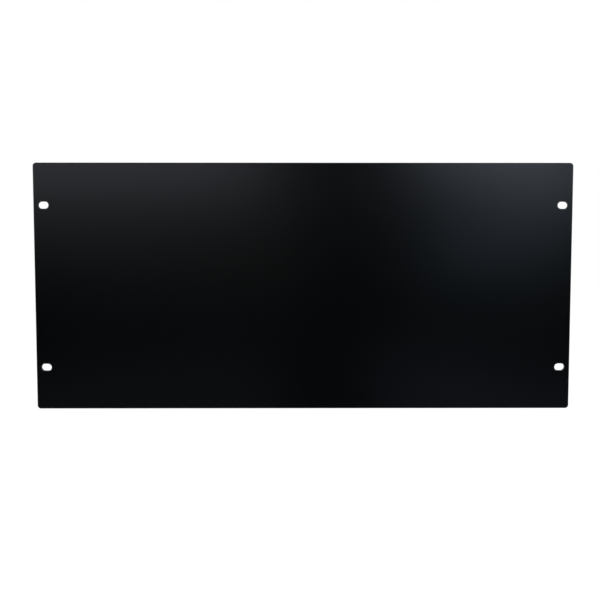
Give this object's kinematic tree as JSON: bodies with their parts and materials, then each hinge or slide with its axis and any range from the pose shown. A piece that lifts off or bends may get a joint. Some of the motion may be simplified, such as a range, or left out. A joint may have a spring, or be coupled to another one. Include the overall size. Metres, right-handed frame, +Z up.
{
  "type": "rack blanking panel",
  "caption": "Flat satin black aluminium panel that closes an unused space at the front of a 19 inch rack, with rounded corners and a sideways slot for a rack screw near each corner.",
  "frame": {"origin": "centre of the four-slot pattern, on the rear face that seats on the rack's rails", "axes": "+X to the right along the panel's width and +Z up, seen from the front; +Y into the rack, so the front face looks along -Y"},
  "size_m": [0.4826, 0.003, 0.2214],
  "materials": {
    "powder_coat": "satin black powder coat on aluminium sheet"
  },
  "bodies": {
    "root": {"blanking_panel": "powder_coat"}
  },
  "joints": []
}
